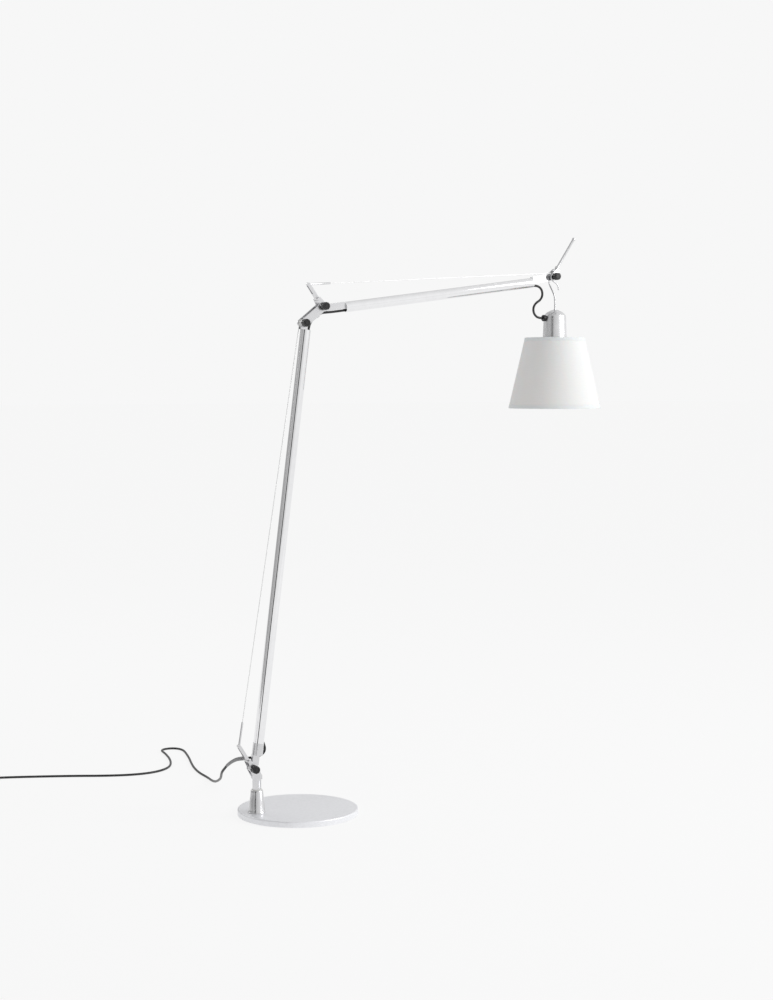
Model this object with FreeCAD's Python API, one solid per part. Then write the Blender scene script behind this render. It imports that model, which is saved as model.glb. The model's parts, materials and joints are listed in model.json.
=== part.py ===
import FreeCAD, Part
import math
import os

os.makedirs("parts", exist_ok=True)
Vec = FreeCAD.Vector

# Adjustable arm floor lamp. The origin is the centre of the round foot's underside, +Z is up and
# +X points from the stem towards the shade. The arms move in the XZ plane, and the tightening
# knobs are on the -Y side. Millimetres and degrees throughout.

# Foot
base_radius = 115.0
base_height = 12.0
cover_wall = 1.5
cover_round = 2.5
weight_gap = 0.5  # between the weight and the cover's skirt
pad_thickness = 1.6
pad_inset = 4.0
floor_gap = 0.8  # the cover's skirt stays off the floor by this much
stem_offset = 84.5  # from the foot's centre to the stem's axis

# Cone on the foot, and the bush and screws inside it
cone_height = 43.0
cone_bottom_radius = 17.0
cone_top_radius = 11.6
cone_lip = 1.2
bush_radius = 7.5
bush_flange = 1.0
bush_length = 34.0
cone_screw_circle = 11.6
cone_screw_radius = 2.0
cone_screw_head_radius = 3.5
cone_screw_head = 2.5
cone_screw_depth = 12.0

# Stem that turns in the cone
spigot_radius = 5.0
stem_radius = 8.3
stem_top = 84.0
clip_thickness = 1.2
clip_radius = 6.8
clip_gap = 0.3  # round the spigot in the cover's hole, and between the clip and the cover

# Joints: half widths from the lamp's middle plane outwards
tongue_half = 5.15
slot_half = 2.8
washer_thickness = 0.75
side_gap = 0.05
ear_thickness = 3.5
prong_eye_thickness = 2.0
ear_radius = 8.0
eye_radius = 7.2
washer_radius = 6.6
axle_radius = 3.0
axle_head_radius = 5.6
axle_head = 3.0
stud_radius = 2.4
running_gap = 0.05
knob_radius = 7.4
knob_length = 10.5
knob_gap = 0.3
knob_flutes = 10
knob_flute_radius = 1.1
knob_cap_radius = 4.2
knob_cap = 0.9

# Arms: pivot to pivot lengths, and the angle of each above the horizontal
lower_pivot_setback = 9.0  # behind the stem's axis
lower_pivot_height = 97.0
lower_length = 842.8
lower_angle = 82.71
link_length = 50.8
link_angle = 39.0
upper_length = 513.1
upper_angle = 7.67
tube_radius = 10.0
tube_wall = 1.2
plug_gap = 0.05
plug_length = 22.0
lower_tube_start = 48.0
lower_tube_end_gap = 12.0  # from the tube's top to the elbow pivot
upper_tube_start = 47.0
upper_tube_end_gap = 48.0
neck_floor = -10.0  # the underside of a tongue's neck, in its arm's frame
neck_top = 3.2  # low enough to pass under the prong's bridge with the arm leaning right back
collar_proud = 0.5

# Wires, pulleys and springs
wire_radius = 0.8
pulley_wire_radius = 7.0  # from a pulley's axis to the middle of the wire round it
pulley_rim = 0.9
pulley_half = 2.5
lower_prong_reach = (39.8, 32.0)  # along the arm, and square to it
upper_prong_reach = (-22.9, 44.3)
prong_half_width = 3.2
prong_pin_radius = 1.3
prong_fork_half = 4.2
prong_fork_depth = 21.0  # the fork is this deep, so that the wire's barrel can fold into it
barrel_radius = 2.0
barrel_eye_radius = 3.2
barrel_eye_half = 2.2
barrel_length = 46.0
wire_inset = 38.0  # how far a wire reaches into its barrel with the arms as drawn
wire_stop = 0.8  # a wire's straight run ends this far short of its pulley
spring_radius = 4.2
spring_wire = 1.2
lower_spring_length = 260.0
upper_spring_length = 190.0
spring_start_gap = 10.0
spring_lift = 1.4  # the spring lies above the tube's middle, to leave the cable room
anchor_radius = 1.6

# Lamp cable in the arms, and outside them at the joints
cable_radius = 2.3
cable_bore_gap = 0.05
cable_cover = 2.0  # how far inside a tube's end the cable outside meets the one inside
cable_window = 18.0  # the slot in the lower tube's foot that the cable comes out of
cable_window_half = 3.5
clip_outer = 3.9
clip_length = 5.0
clip_below = 7.9  # from the elbow link's middle line down to the cable's middle
clip_run = 8.5  # the cable runs straight for this far on each side of the clip
clip_along = 0.63  # how far along the link the clip is, as a share of its length

# Head
handle_angle = 56.5
handle_tip = 95.0
handle_radius = 2.6
handle_ball = 3.6
collar_start = 18.5
collar_length = 5.0
collar_radius = 4.6
hanger_radius = 1.5
hook_radius = 1.3
shade_setback = 7.0  # from the head pivot forward to the shade's axis
shade_top_drop = 122.0
shade_height = 142.0
shade_top_radius = 60.0
shade_bottom_radius = 92.5
shade_wall = 1.2
band_height = 7.0
carrier_rim_drop = 2.4  # the carrier's outer ring reaches this far down inside the shade
cover_top_drop = 66.5
cover_radius = 24.0
cover_shoulder_radius = 22.0
cover_flat_radius = 6.5
cover_wall_thin = 1.2
holder_radius = 14.0
holder_bottom_drop = 146.0
ring_radius = 21.0
spoke_width = 7.0
bulb_radius = 24.0
bulb_neck_radius = 13.0
bulb_length = 74.0
bulb_wall = 1.0
gland_drop = 83.0
gland_length = 7.0
gland_radius = 6.4

# Mains cord on the floor
cord_radius = 2.4
cord_exit_height = 113.8
cord_side = 14.6  # the cord's exit is this far to the lamp's +Y side
boss_radius = 3.9
boss_length = 8.0
relief_start = -22.0  # from the stem's axis to the boss's mouth
relief_end_radius = 2.9
coil_outer = 33.0
coil_inner = 21.0
coil_height = 10.0
plug_setback = 8.0  # the mains plug starts this far before the coil's middle
mains_plug_length = 36.0
mains_plug_width = 26.0
mains_plug_height = 13.6
mains_pin_radius = 2.0
mains_pin_length = 19.0
mains_pin_spacing = 19.0

# Derived places
stem_x = -stem_offset
cover_top = base_height
cover_under = cover_top - cover_wall
cone_top = cover_top + cone_height
ear_in = tongue_half + 2 * side_gap + washer_thickness
ear_out = ear_in + ear_thickness
prong_out = ear_out + prong_eye_thickness
tube_offset = pulley_wire_radius
tube_bore = tube_radius - tube_wall
pivot_0 = Vec(stem_x - lower_pivot_setback, 0, lower_pivot_height)


def along(start, angle, length):
    a = math.radians(angle)
    return start + Vec(length * math.cos(a), 0, length * math.sin(a))


pivot_1 = along(pivot_0, lower_angle, lower_length)
pivot_2 = along(pivot_1, link_angle, link_length)
pivot_3 = along(pivot_2, upper_angle, upper_length)
shade_x = pivot_3.x + shade_setback
gland_place = Vec(shade_x - cover_shoulder_radius - 0.6 - gland_length, 0, pivot_3.z - gland_drop)
elbow_clip_place = along(along(pivot_1, link_angle, link_length * clip_along), link_angle - 90, clip_below)


def rod(radius, start, end):
    return Part.makeCylinder(radius, (end - start).Length, start, end - start)


def across(radius, x, z, y_low, y_high):
    """A cylinder along Y."""
    return Part.makeCylinder(radius, y_high - y_low, Vec(x, y_low, z), Vec(0, 1, 0))


def box(x_low, x_high, y_low, y_high, z_low, z_high):
    return Part.makeBox(x_high - x_low, y_high - y_low, z_high - z_low, Vec(x_low, y_low, z_low))


def bar(a, b, radius_a, radius_b, y_low, y_high):
    """A flat plate between two round ends, tapering from one to the other, in the XZ plane."""
    reach = math.hypot(b[0] - a[0], b[1] - a[1])
    heading = math.atan2(b[1] - a[1], b[0] - a[0])
    spread = math.acos((radius_a - radius_b) / reach)

    def rim(centre, radius, turn):
        angle = heading + turn
        return Vec(centre[0] + radius * math.cos(angle), y_low, centre[1] + radius * math.sin(angle))

    edges = [
        Part.Arc(rim(a, radius_a, spread), rim(a, radius_a, math.pi), rim(a, radius_a, -spread)),
        Part.LineSegment(rim(a, radius_a, -spread), rim(b, radius_b, -spread)),
        Part.Arc(rim(b, radius_b, -spread), rim(b, radius_b, 0), rim(b, radius_b, spread)),
        Part.LineSegment(rim(b, radius_b, spread), rim(a, radius_a, spread)),
    ]
    wire = Part.Wire([edge.toShape() for edge in edges])
    return Part.Face(wire).extrude(Vec(0, y_high - y_low, 0))


def both_sides(make, y_low, y_high):
    return make(y_low, y_high).fuse(make(-y_high, -y_low))


def turned(points, axis_x=0.0):
    """A solid of revolution about the vertical line at axis_x, from (radius, height) points."""
    places = [Vec(axis_x + radius, 0, height) for radius, height in points]
    face = Part.Face(Part.makePolygon(places + places[:1]))
    return face.revolve(Vec(axis_x, 0, 0), Vec(0, 0, 1), 360)


def place_arm(shape, pivot, angle):
    """From an arm's own frame, with the arm along +X and its wire on the +Z side."""
    placed = shape.copy()
    placed.rotate(Vec(0, 0, 0), Vec(0, 1, 0), -angle)
    placed.translate(pivot)
    return placed


def at_arm(x, z, pivot, angle):
    return FreeCAD.Rotation(Vec(0, 1, 0), -angle).multVec(Vec(x, 0, z)) + pivot


def group(shapes):
    return Part.makeCompound(shapes)


def write(name, shape):
    solid = shape.removeSplitter() if shape.ShapeType == "Solid" else shape
    if solid.ShapeType == "Compound" and len(solid.Solids) == 1:
        solid = solid.Solids[0].removeSplitter()
    solid.exportStep(f"parts/{name}.step")


# Foot ------------------------------------------------------------------------------------------


def make_base_cover():
    outer = Part.makeCylinder(base_radius, cover_top - floor_gap, Vec(0, 0, floor_gap))
    rim = [e for e in outer.Edges if abs(e.BoundBox.ZMin - cover_top) < 1e-6 and e.Length > base_radius]
    outer = outer.makeFillet(cover_round, rim[:1])
    hollow = Part.makeCylinder(base_radius - cover_wall, cover_under - floor_gap, Vec(0, 0, floor_gap))
    hollow = hollow.makeFillet(
        max(cover_round - cover_wall, 0.5),
        [e for e in hollow.Edges if abs(e.BoundBox.ZMin - cover_under) < 1e-6][:1],
    )
    shell = outer.cut(hollow)
    holes = [rod(spigot_radius + clip_gap, Vec(stem_x, 0, 0), Vec(stem_x, 0, base_height + 1))]
    holes += [
        rod(cone_screw_radius + running_gap, place, place + Vec(0, 0, base_height + 1))
        for place in screw_places()
    ]
    for hole in holes:
        shell = shell.cut(hole)
    return shell


def screw_places():
    return [
        Vec(
            stem_x + cone_screw_circle * math.cos(math.radians(turn)),
            cone_screw_circle * math.sin(math.radians(turn)),
            0,
        )
        for turn in (90, 210, 330)
    ]


def make_base_weight():
    radius = base_radius - cover_wall - weight_gap
    weight = Part.makeCylinder(radius, cover_under - pad_thickness, Vec(0, 0, pad_thickness))
    edges = [e for e in weight.Edges if abs(e.BoundBox.ZMax - e.BoundBox.ZMin) < 1e-6]
    weight = weight.makeChamfer(max(cover_round - cover_wall, 0.5) + 0.2, edges)
    pocket = rod(clip_radius + 1.5, Vec(stem_x, 0, 0), Vec(stem_x, 0, base_height))
    weight = weight.cut(pocket)
    for place in screw_places():
        shank = rod(cone_screw_radius + running_gap, place, place + Vec(0, 0, base_height))
        seat = rod(cone_screw_head_radius + 0.3, place, place + Vec(0, 0, pad_thickness + cone_screw_head))
        weight = weight.cut(shank).cut(seat)
    return weight


def make_base_pad():
    return Part.makeCylinder(base_radius - cover_wall - pad_inset, pad_thickness)


def make_cone_screws():
    screws = []
    for place in screw_places():
        foot = place + Vec(0, 0, pad_thickness)
        seat = foot + Vec(0, 0, cone_screw_head)
        top = Vec(place.x, place.y, cover_top + cone_screw_depth)
        screws.append(rod(cone_screw_head_radius, foot, seat).fuse(rod(cone_screw_radius, seat, top)))
    return group(screws)


def make_base_cone():
    outline = [
        (bush_radius, cover_top),
        (cone_bottom_radius, cover_top),
        (cone_bottom_radius, cover_top + cone_lip),
        (cone_bottom_radius - cone_lip, cover_top + 2 * cone_lip),
        (cone_top_radius, cone_top - cone_lip),
        (cone_top_radius - cone_lip, cone_top),
        (bush_radius, cone_top),
    ]
    cone = turned(outline, stem_x)
    for place in screw_places():
        top = Vec(place.x, place.y, cover_top + cone_screw_depth)
        cone = cone.cut(rod(cone_screw_radius, place, top))
    return cone


def make_stem_bush():
    low = cone_top - bush_length
    outline = [
        (spigot_radius + running_gap, low),
        (bush_radius, low),
        (bush_radius, cone_top),
        (cone_top_radius - cone_lip - 0.4, cone_top),
        (cone_top_radius - cone_lip - 0.4, cone_top + bush_flange),
        (spigot_radius + running_gap, cone_top + bush_flange),
    ]
    return turned(outline, stem_x)


# Stem and its ears -----------------------------------------------------------------------------


def make_stem():
    foot = cone_top + bush_flange + side_gap
    clip_low = cover_under - clip_thickness - clip_gap
    low = clip_low - 1.2
    stem = turned(
        [(0, low), (spigot_radius, low), (spigot_radius, foot), (stem_radius, foot), (stem_radius, stem_top)]
        + [(0, stem_top)],
        stem_x,
    )
    groove = rod(spigot_radius + 1, Vec(stem_x, 0, clip_low), Vec(stem_x, 0, clip_low + clip_thickness))
    core = rod(spigot_radius - 1, Vec(stem_x, 0, low), Vec(stem_x, 0, foot))
    stem = stem.cut(groove.cut(core))
    hub = (pivot_0.x, pivot_0.z)
    foot_place = (stem_x - 0.5, stem_top - 3.0)

    def ear(y_low, y_high):
        return bar(foot_place, hub, ear_radius - 0.2, ear_radius, y_low, y_high)

    saddle_low = stem_top - 8.0
    saddle = box(stem_x - ear_radius, stem_x + ear_radius - 0.5, -ear_out, ear_out, saddle_low, stem_top)
    limit = rod(ear_radius + 3.6, Vec(stem_x, 0, saddle_low), Vec(stem_x, 0, pivot_0.z + 30))
    saddle = saddle.common(limit)
    room = across(eye_radius + 0.8, *hub, -ear_in, ear_in)
    stem = stem.fuse(saddle).cut(room).fuse(both_sides(ear, ear_in, ear_out))
    return stem.cut(across(axle_radius, *hub, -ear_out - 1, ear_out + 1))


def make_stem_clip():
    low = cover_under - clip_thickness - clip_gap
    ring = rod(clip_radius, Vec(stem_x, 0, low), Vec(stem_x, 0, low + clip_thickness))
    ring = ring.cut(rod(spigot_radius - 1, Vec(stem_x, 0, low), Vec(stem_x, 0, base_height)))
    return ring.cut(box(stem_x, stem_x + clip_radius + 1, -2, 2, low, low + clip_thickness))


def make_axle(pivot, outer):
    """A cross bolt with a domed head on the far side and a stud for the knob on the near side."""
    shank = across(axle_radius, pivot.x, pivot.z, -outer, outer)
    head = across(axle_head_radius, pivot.x, pivot.z, outer, outer + axle_head)
    rim = [e for e in head.Edges if abs(e.BoundBox.YMin - outer - axle_head) < 1e-6]
    head = head.makeFillet(axle_head * 0.6, rim[:1])
    stud_end = -outer - knob_gap - knob_length + 2.5
    stud = across(stud_radius, pivot.x, pivot.z, stud_end, -outer)
    return shank.fuse(head).fuse(stud)


def make_washers(pivots):
    rings = []
    for pivot in pivots:
        for side in (-1, 1):
            near, far = sorted((side * (ear_in - washer_thickness), side * ear_in))
            ring = across(washer_radius, pivot.x, pivot.z, near, far)
            rings.append(ring.cut(across(axle_radius, pivot.x, pivot.z, near, far)))
    return group(rings)


def make_prong(pivot, reach, angle):
    """Two thin eyes on the axle, outside the ears, that meet in one bar with a forked end."""
    tip = at_arm(*reach, pivot, angle)
    length = (tip - pivot).Length
    way = (tip - pivot) * (1 / length)
    knee = pivot + way * (ear_radius + 9.0)

    def leg(y_low, y_high):
        return bar((pivot.x, pivot.z), (knee.x, knee.z), 5.8, prong_half_width, y_low, y_high)

    prong = both_sides(leg, ear_out, prong_out)
    bridge = across(prong_half_width, knee.x, knee.z, -prong_out, prong_out)
    stalk = bar(
        (knee.x, knee.z),
        (tip.x, tip.z),
        prong_half_width,
        prong_half_width - 0.2,
        -prong_fork_half,
        prong_fork_half,
    )
    slot_start = tip - way * (prong_fork_depth - barrel_eye_radius)
    slot = bar(
        (slot_start.x, slot_start.z),
        (tip.x + 8 * way.x, tip.z + 8 * way.z),
        barrel_eye_radius + 0.6,
        barrel_eye_radius + 0.4,
        -barrel_eye_half - side_gap,
        barrel_eye_half + side_gap,
    )
    prong = prong.fuse(bridge).fuse(stalk).cut(slot)
    prong = prong.cut(across(axle_radius, pivot.x, pivot.z, -prong_out - 1, prong_out + 1))
    return prong.cut(across(prong_pin_radius, tip.x, tip.z, -prong_fork_half - 1, prong_fork_half + 1))


def make_prong_pin(pivot, reach, angle):
    tip = at_arm(*reach, pivot, angle)
    return across(prong_pin_radius, tip.x, tip.z, -prong_fork_half - 0.4, prong_fork_half + 0.4)


def make_cord_boss():
    """The tube on the lower prong that the mains cord leaves from, with its cable behind it."""
    place = Vec(stem_x + relief_start, cord_side, cord_exit_height)
    boss = Part.makeCylinder(boss_radius, boss_length, place, Vec(1, 0, 0))
    return boss.cut(Part.makeCylinder(cable_radius + cable_bore_gap, boss_length, place, Vec(1, 0, 0)))


# Arms ------------------------------------------------------------------------------------------

cable_line = -tube_offset - tube_bore + cable_radius + 0.6  # height of the cable in an arm's frame


def lower_half_cut(x_low, x_high):
    """Room in a plug for the cable, which runs along the bottom of the tube."""
    top = cable_line + cable_radius + cable_bore_gap
    return box(x_low, x_high, -tube_radius, tube_radius, -tube_offset - tube_radius - 1, top)


def spring_span(tube_start, spring_length):
    start = tube_start + plug_length + spring_start_gap
    return start, start + spring_length


def make_tongue(tube_start, collared):
    """The end near the arm's own pivot: an eye, a neck and a half-round plug inside the tube."""
    eye = across(eye_radius, 0, 0, -tongue_half, tongue_half)
    neck_end = tube_start - (23.0 if collared else 0.0)
    neck_stop = neck_end + (0.5 if collared else 0.0)
    neck = box(0, neck_stop, -tongue_half, tongue_half, neck_floor, neck_top)
    slope = box(-20, 40, -20, 20, -40, 0)
    slope.rotate(Vec(0, 0, 0), Vec(0, 1, 0), 22)
    slope.translate(Vec(2, 0, -eye_radius - 0.4))
    tongue = eye.fuse(neck.cut(slope))
    plug = Part.makeCylinder(
        tube_bore - plug_gap, plug_length, Vec(tube_start, 0, -tube_offset), Vec(1, 0, 0)
    )
    tongue = tongue.fuse(plug.cut(lower_half_cut(tube_start - 1, tube_start + plug_length + 1)))
    if collared:
        collar = Part.makeCylinder(
            tube_radius + collar_proud, tube_start - neck_end, Vec(neck_end, 0, -tube_offset), Vec(1, 0, 0)
        )
        hollow = box(
            neck_end + 8, tube_start + 1, -cable_radius - 1.2, cable_radius + 1.2, -40, cable_line + 3.6
        )
        bore = Part.makeCylinder(
            cable_radius + 0.5, plug_length, Vec(tube_start - 8, 0, cable_line), Vec(1, 0, 0)
        )
        tongue = tongue.fuse(collar).cut(hollow).cut(bore)
    anchor_place = Vec(tube_start + plug_length, 0, -tube_offset + spring_lift)
    tongue = tongue.fuse(Part.makeCylinder(anchor_radius, spring_start_gap, anchor_place, Vec(1, 0, 0)))
    return tongue.cut(across(axle_radius + running_gap, 0, 0, -tongue_half - 1, tongue_half + 1))


def make_tube(tube_start, tube_end, windowed):
    place = Vec(tube_start, 0, -tube_offset)
    tube = Part.makeCylinder(tube_radius, tube_end - tube_start, place, Vec(1, 0, 0))
    tube = tube.cut(Part.makeCylinder(tube_bore, tube_end - tube_start, place, Vec(1, 0, 0)))
    if not windowed:
        return tube
    window_end = tube_start + cable_window - cable_window_half
    half = cable_window_half
    window = box(tube_start - 1, window_end, -half, half, -40, -tube_offset)
    return tube.cut(window).cut(rod(half, Vec(window_end, 0, -40), Vec(window_end, 0, -tube_offset)))


def make_fork(length, tube_end):
    """The far end: a plug in the tube, and two cheeks with the wire's pulley between them."""
    plug_start = tube_end - plug_length
    plug = Part.makeCylinder(
        tube_bore - plug_gap, plug_length, Vec(plug_start, 0, -tube_offset), Vec(1, 0, 0)
    )
    plug = plug.cut(lower_half_cut(plug_start - 1, tube_end + 1))
    root = (tube_end - 3.0, -2.6)
    inner_cut = box(tube_end - 30, tube_end, -20, 20, -40, 40)

    def cheek(y_low, y_high):
        plate = bar(root, (length, 0), eye_radius - 0.4, eye_radius, y_low, y_high)
        return plate.cut(inner_cut)

    bridge_end = length - pulley_wire_radius - pulley_rim - 2.5
    fork = plug.fuse(both_sides(cheek, slot_half, tongue_half))
    if bridge_end > tube_end + 2:
        web = bar(root, (length, 0), eye_radius - 0.4, eye_radius, -slot_half, slot_half)
        fork = fork.fuse(web.common(box(tube_end, bridge_end, -20, 20, -40, 40)))
    passage = Part.makeCylinder(
        wire_radius + 1.2, plug_length + length, Vec(plug_start - 1, 0, -tube_offset), Vec(1, 0, 0)
    )
    fork = fork.cut(passage)
    roof = box(tube_end, length - 4, -slot_half, slot_half, pulley_wire_radius - 2.6, 20)
    fork = fork.cut(roof)
    inside = fork.common(box(-50, tube_end, -20, 20, -40, 40))
    keep = Part.makeCylinder(
        tube_bore - plug_gap, plug_length + 1, Vec(plug_start - 1, 0, -tube_offset), Vec(1, 0, 0)
    )
    outside = fork.common(box(tube_end, length + 30, -20, 20, -40, 40))
    fork = inside.common(keep).fuse(outside)
    return fork.cut(across(axle_radius + running_gap, length, 0, -tongue_half - 1, tongue_half + 1))


def make_pulley(length):
    outer = pulley_wire_radius + pulley_rim
    groove_bottom = pulley_wire_radius - wire_radius - running_gap
    outline = [
        (axle_radius + running_gap, -pulley_half),
        (outer, -pulley_half),
        (outer, -wire_radius - 0.5),
        (groove_bottom, -wire_radius - 0.2),
        (groove_bottom, wire_radius + 0.2),
        (outer, wire_radius + 0.5),
        (outer, pulley_half),
        (axle_radius + running_gap, pulley_half),
    ]
    wheel = turned(outline)
    wheel.rotate(Vec(0, 0, 0), Vec(1, 0, 0), 90)
    wheel.translate(Vec(length, 0, 0))
    return wheel


def make_spring(tube_start, spring_length):
    """A close-wound tension spring as a tube of its outer size, with an eye rod at each end."""
    start, end = spring_span(tube_start, spring_length)
    place = Vec(start, 0, -tube_offset + spring_lift)
    coil = Part.makeCylinder(spring_radius, end - start, place, Vec(1, 0, 0))
    coil = coil.cut(Part.makeCylinder(spring_radius - spring_wire, end - start, place, Vec(1, 0, 0)))
    end_disc = Part.makeCylinder(spring_radius, spring_wire, place, Vec(1, 0, 0))
    far_disc = Part.makeCylinder(
        spring_radius, spring_wire, place + Vec(end - start - spring_wire, 0, 0), Vec(1, 0, 0)
    )
    return coil.fuse(end_disc).fuse(far_disc)


def make_return_wire(length, tube_start, spring_length):
    """From the spring along the tube, then half way round the pulley."""
    start = Vec(spring_span(tube_start, spring_length)[1], 0, -pulley_wire_radius)
    low = Vec(length, 0, -pulley_wire_radius)
    top = Vec(length, 0, pulley_wire_radius)
    arc = Part.Arc(low, Vec(length + pulley_wire_radius, 0, 0), top)
    path = Part.Wire([Part.LineSegment(start, low).toShape(), arc.toShape()])
    return sweep(path, wire_radius, start, Vec(1, 0, 0))


def sweep(path, radius, start, heading):
    profile = Part.Wire([Part.Circle(start, heading, radius).toShape()])
    return path.makePipeShell([profile], True, False)


def tangent_point(reach, length):
    """Where a straight wire from the prong's tip touches the top of the pulley."""
    x, z = length - reach[0], -reach[1]
    distance = math.hypot(x, z)
    heading = math.atan2(z, x) + math.asin(pulley_wire_radius / distance)
    run = math.sqrt(distance**2 - pulley_wire_radius**2)
    return heading, run


def make_barrel(reach, length):
    """The adjuster that is pinned to the prong and holds the end of the wire."""
    heading, _ = tangent_point(reach, length)
    way = Vec(math.cos(heading), 0, math.sin(heading))
    tip = Vec(reach[0], 0, reach[1])
    body = rod(barrel_radius, tip + way * (barrel_eye_radius - 0.6), tip + way * barrel_length)
    body = body.fuse(across(barrel_eye_radius, tip.x, tip.z, -barrel_eye_half, barrel_eye_half))
    bore = rod(wire_radius + running_gap, tip + way * (barrel_eye_radius + 1.8), tip + way * 200)
    return body.cut(bore).cut(across(prong_pin_radius + running_gap, tip.x, tip.z, -5, 5))


def make_wire(reach, length):
    heading, run = tangent_point(reach, length)
    way = Vec(math.cos(heading), 0, math.sin(heading))
    tip = Vec(reach[0], 0, reach[1])
    return rod(wire_radius, tip + way * (barrel_length - wire_inset), tip + way * (run - wire_stop))


def make_arm_cable(start, end):
    return Part.makeCylinder(cable_radius, end - start, Vec(start, 0, cable_line), Vec(1, 0, 0))


def make_knob(pivot, outer):
    """A fluted plastic knob, blind-bored for its stud, with a raised cap on the front."""
    back = -outer - knob_gap
    front = back - knob_length
    knob = across(knob_radius, pivot.x, pivot.z, front, back)
    rims = [e for e in knob.Edges if e.BoundBox.YMax - e.BoundBox.YMin < 1e-6]
    knob = knob.makeChamfer(1.0, rims)
    for step in range(knob_flutes):
        turn = 2 * math.pi * step / knob_flutes
        x = pivot.x + (knob_radius + 0.35) * math.cos(turn)
        z = pivot.z + (knob_radius + 0.35) * math.sin(turn)
        knob = knob.cut(across(knob_flute_radius, x, z, front - 1, back - 2.0))
    bore = across(stud_radius + running_gap, pivot.x, pivot.z, front + 2.4, back + 1)
    ring = across(knob_cap_radius, pivot.x, pivot.z, front, front + knob_cap)
    ring = ring.cut(across(knob_cap_radius - 0.6, pivot.x, pivot.z, front, front + knob_cap))
    return knob.cut(bore).cut(ring)


# Elbow -----------------------------------------------------------------------------------------


def make_link():
    a, b = (pivot_1.x, pivot_1.z), (pivot_2.x, pivot_2.z)

    def plate(y_low, y_high):
        return bar(a, b, ear_radius, ear_radius, y_low, y_high)

    link = both_sides(plate, ear_in, ear_out)
    room = eye_radius + 3.4
    way = (pivot_2 - pivot_1) * (1 / link_length)
    web_a = pivot_1 + way * (room + 4.2)
    web_b = pivot_2 - way * (room + 4.2)
    web = bar((web_a.x, web_a.z), (web_b.x, web_b.z), 4.2, 4.2, -ear_in, ear_in)
    link = link.fuse(web)
    clip = elbow_clip_place
    half = way * (clip_length / 2)
    link = link.fuse(rod(clip_outer, clip - half, clip + half))
    link = link.cut(rod(cable_radius + cable_bore_gap, clip - half * 2, clip + half * 2))
    for centre in (a, b):
        link = link.cut(across(axle_radius, *centre, -ear_out - 1, ear_out + 1))
    return link


# Head ------------------------------------------------------------------------------------------


def make_head_hub():
    """Two ears on the head's axle, joined in front of the arm by a small yoke."""
    centre = (pivot_3.x, pivot_3.z)
    knee = along(pivot_3, handle_angle, collar_start - 4.0)

    def ear(y_low, y_high):
        return bar(centre, (knee.x, knee.z), ear_radius - 0.6, 4.0, y_low, y_high)

    room = across(pulley_wire_radius + wire_radius + 1.2, *centre, -ear_in, ear_in)
    bridge = across(3.6, knee.x, knee.z, -ear_out + 0.5, ear_out - 0.5).cut(room)
    stub = rod(3.2, knee, along(pivot_3, handle_angle, collar_start))
    hub = both_sides(ear, ear_in, ear_out).fuse(bridge).fuse(stub)
    return hub.cut(across(axle_radius, *centre, -ear_out - 1, ear_out + 1))


def make_handle_collar():
    start = along(pivot_3, handle_angle, collar_start)
    end = along(pivot_3, handle_angle, collar_start + collar_length)
    collar = rod(collar_radius, start, end)
    edges = [e for e in collar.Edges if e.Curve.TypeId == "Part::GeomCircle"]
    return collar.makeChamfer(0.5, edges)


def make_handle_rod():
    start = along(pivot_3, handle_angle, collar_start + collar_length)
    end = along(pivot_3, handle_angle, handle_tip - handle_ball)
    return rod(handle_radius, start, end).fuse(Part.makeSphere(handle_ball, end))


def make_hanger():
    """A round rod from an ear's outer face, in and down to the top of the socket cover."""
    top = pivot_3.z
    eye = across(6.0, pivot_3.x, top, ear_out, ear_out + 3.0)
    eye = eye.cut(across(axle_radius, pivot_3.x, top, ear_out, ear_out + 3.0))
    side = ear_out + 1.5
    stations = [
        Vec(pivot_3.x, side, top - 3.0),
        Vec(pivot_3.x, side, top - 14.0),
        Vec(pivot_3.x + 2.5, side * 0.5, top - 25.0),
        Vec(shade_x - 1.0, 0.0, top - 38.0),
        Vec(shade_x, 0.0, top - 52.0),
        Vec(shade_x, 0.0, top - cover_top_drop - 3.0),
    ]
    route, _ = rounded(stations)
    rod_solid = sweep(route, hanger_radius, stations[0], stations[1] - stations[0])
    return eye.fuse(rod_solid)


def make_hook():
    """A bent spring wire that steadies the head: from the ear's rim down and forward."""
    y = -ear_out - hook_radius
    stations = [
        Vec(pivot_3.x - 4.6, y, pivot_3.z + 4.4),
        Vec(pivot_3.x - 9.6, y, pivot_3.z - 0.5),
        Vec(pivot_3.x - 6.2, y, pivot_3.z - 9.0),
        Vec(pivot_3.x + 3.0, y, pivot_3.z - 13.0),
        Vec(pivot_3.x + 8.0, y, pivot_3.z - 20.0),
        Vec(pivot_3.x + 8.5, y, pivot_3.z - 27.0),
    ]
    route, _ = rounded(stations)
    return sweep(route, hook_radius, stations[0], stations[1] - stations[0])


def make_socket_cover():
    top = pivot_3.z - cover_top_drop
    bottom = pivot_3.z - shade_top_drop
    outer = [
        (2.6, top),
        (cover_flat_radius, top),
        (9.0, top - 1.2),
        (16.0, top - 4.5),
        (cover_shoulder_radius, top - 11.0),
        (cover_shoulder_radius + 0.6, top - 18.0),
        (cover_radius, bottom),
    ]
    inner = [
        (cover_radius - cover_wall_thin, bottom),
        (cover_shoulder_radius + 0.6 - cover_wall_thin, top - 18.0),
        (cover_shoulder_radius - cover_wall_thin, top - 11.5),
        (16.0 - 0.6, top - 4.5 - cover_wall_thin),
        (9.0, top - 1.2 - cover_wall_thin),
        (cover_flat_radius, top - cover_wall_thin),
        (2.6, top - cover_wall_thin),
    ]
    cover = turned(outer + inner, shade_x)
    place = pivot_3.z - gland_drop
    hole = Part.makeCylinder(gland_radius - 1.9, 20, Vec(shade_x - 30, 0, place), Vec(1, 0, 0))
    return cover.cut(hole)


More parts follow.
